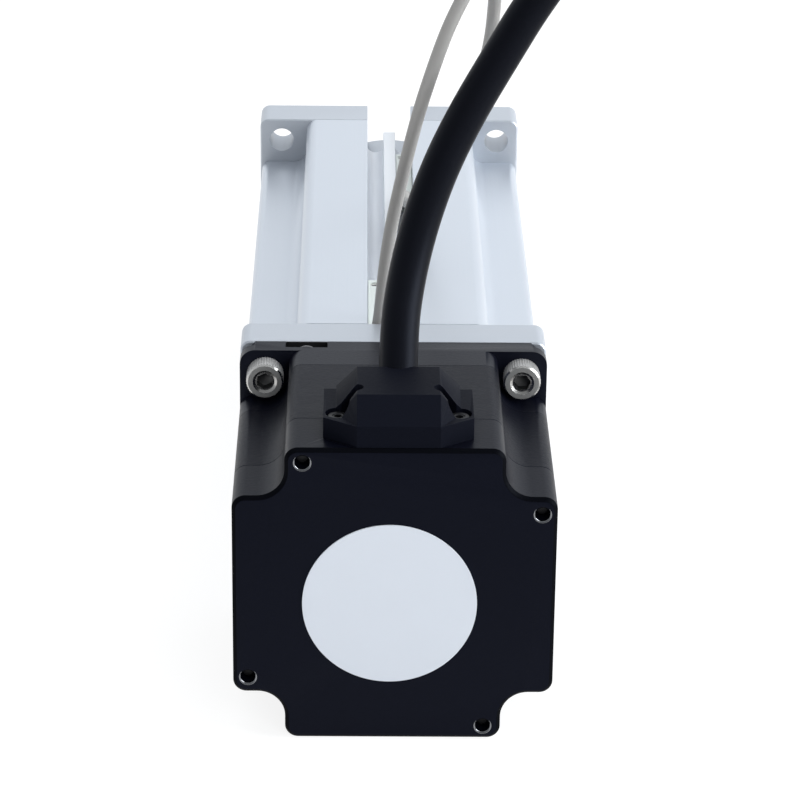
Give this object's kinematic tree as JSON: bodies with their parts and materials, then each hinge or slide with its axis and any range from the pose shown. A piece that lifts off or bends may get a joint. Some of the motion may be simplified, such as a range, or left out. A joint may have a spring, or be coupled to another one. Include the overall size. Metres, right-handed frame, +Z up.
{
  "type": "electric cylinder",
  "caption": "Square electric cylinder: in-line motor, ball screw drive and sliding rod, slotted body with two clamped slot sensors, flange ends and free cable and leads.",
  "frame": {"origin": "centre of the front plate's mounting face, on the rod's axis", "axes": "+Y along the rod, out of the cylinder; +Z up through the sensor slot; +X to the right as seen from the motor"},
  "size_m": [0.1369, 0.2083, 0.161],
  "materials": {
    "anodised_silver": "satin anodised",
    "black_motor_paint": "satin black",
    "black_plastic": "moulded matte",
    "label_white": "bare label",
    "screw_steel": "stainless",
    "black_steel": "blackened",
    "plain_steel": "ground",
    "electrical_steel": "punched sheets",
    "copper": "enamelled wire",
    "magnet": "sintered",
    "rubber_black": "elastic",
    "spider_red": "polyurethane",
    "bush_plastic": "filled polymer",
    "cable_black": "cable jacket",
    "lead_grey": "lead jacket",
    "sensor_white": "moulded",
    "plug_white": "moulded",
    "terminal_black": "moulded"
  },
  "bodies": {
    "base": {"label_disc": "label_white", "motor_rear_cap": "black_motor_paint", "motor_tie_screws": "black_steel", "spring_washer": "plain_steel", "motor_rear_bearing_outer": "plain_steel", "stator_stack": "electrical_steel", "stator_windings": "copper", "motor_front_bearing_outer": "plain_steel", "front_bell": "black_motor_paint", "motor_mount_screws": "screw_steel", "connector_cover": "black_plastic", "cover_screws": "black_steel", "terminal_block": "terminal_black", "motor_cable": "cable_black", "motor_plug": "plug_white", "rear_flange_plate": "anodised_silver", "flange_plate_screws": "screw_steel", "body_extrusion": "anodised_silver", "bearing_housing": "anodised_silver", "screw_bearing_outer": "plain_steel", "bearing_retainer": "plain_steel", "rod_bush": "bush_plastic", "rod_wiper": "rubber_black", "rear_bumper": "rubber_black", "front_bumper": "rubber_black", "front_plate": "anodised_silver", "front_plate_screws": "screw_steel", "sensor_clamp_screws": "screw_steel", "sensor_rear": "sensor_white", "sensor_front": "sensor_white", "sensor_rear_lead": "lead_grey", "sensor_front_lead": "lead_grey"},
    "rotor": {"rotor_cores": "electrical_steel", "rotor_magnet": "magnet", "motor_shaft": "plain_steel", "motor_rear_bearing_inner": "plain_steel", "motor_front_bearing_inner": "plain_steel", "coupling_motor_hub": "anodised_silver", "coupling_spider": "spider_red", "coupling_screw_hub": "anodised_silver", "lock_nut": "plain_steel", "screw_bearing_inner": "plain_steel", "ball_screw": "plain_steel"},
    "rod": {"ball_nut": "plain_steel", "nut_carrier": "anodised_silver", "magnet_ring": "magnet", "wear_ring": "bush_plastic", "guide_key": "plain_steel", "piston_rod": "plain_steel", "rod_tip": "plain_steel"}
  },
  "joints": [
    {"name": "rotor_spin", "type": "hinge", "parent": "base", "child": "rotor", "pos_m": [0, -0.15, 0], "axis": [0, -1, 0], "range_deg": [0, 1800]},
    {"name": "rod_slide", "type": "slide", "parent": "base", "child": "rod", "axis": [0, 1, 0], "range_m": [0, 0.05]}
  ],
  "couplings": [
    {"joint": "rod_slide", "follows": "rotor_spin", "m_per_rad": 0.0015915}
  ]
}
